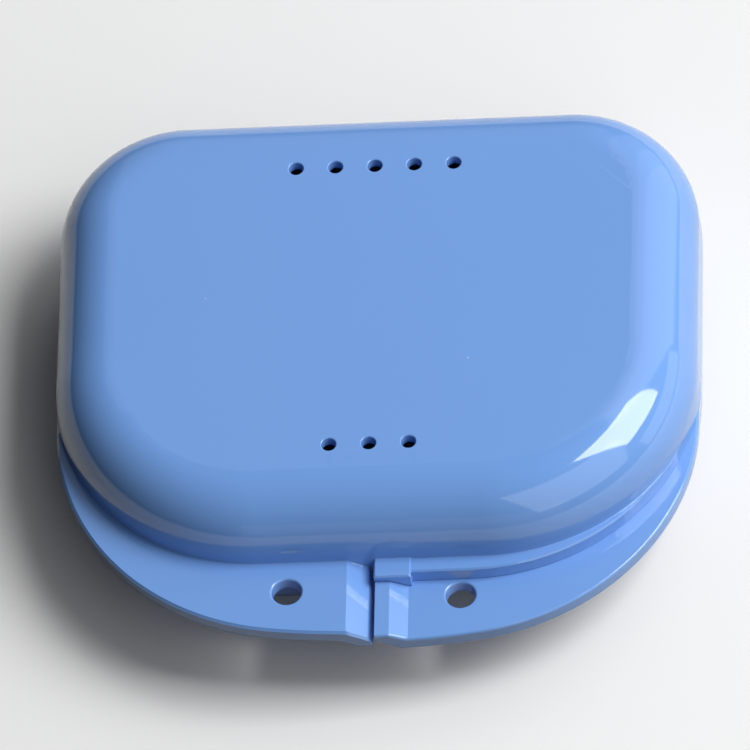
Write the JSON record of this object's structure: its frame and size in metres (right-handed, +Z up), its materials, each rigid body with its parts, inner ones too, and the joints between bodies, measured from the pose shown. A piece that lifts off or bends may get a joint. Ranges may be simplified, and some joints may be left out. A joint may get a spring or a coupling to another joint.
{
  "type": "retainer case",
  "caption": "Pocket case for a dental retainer: two like domed shells with vent holes, hinged behind, with winged snap latch in front.",
  "frame": {"origin": "middle of the footprint's bounding box, on the table under the closed case", "axes": "+X along the front towards the base's wing, +Y from the wings to the hinge, +Z up"},
  "size_m": [0.0814, 0.0784, 0.022],
  "materials": {
    "blue_plastic": "high-gloss injection-moulded polypropylene"
  },
  "bodies": {
    "base": {"lower_shell": "blue_plastic"},
    "lid": {"upper_shell": "blue_plastic"}
  },
  "joints": [
    {"name": "lid_hinge", "type": "hinge", "parent": "base", "child": "lid", "pos_m": [0, 0.0376, 0.011], "axis": [-1, 0, 0], "range_deg": [0, 180]}
  ]
}
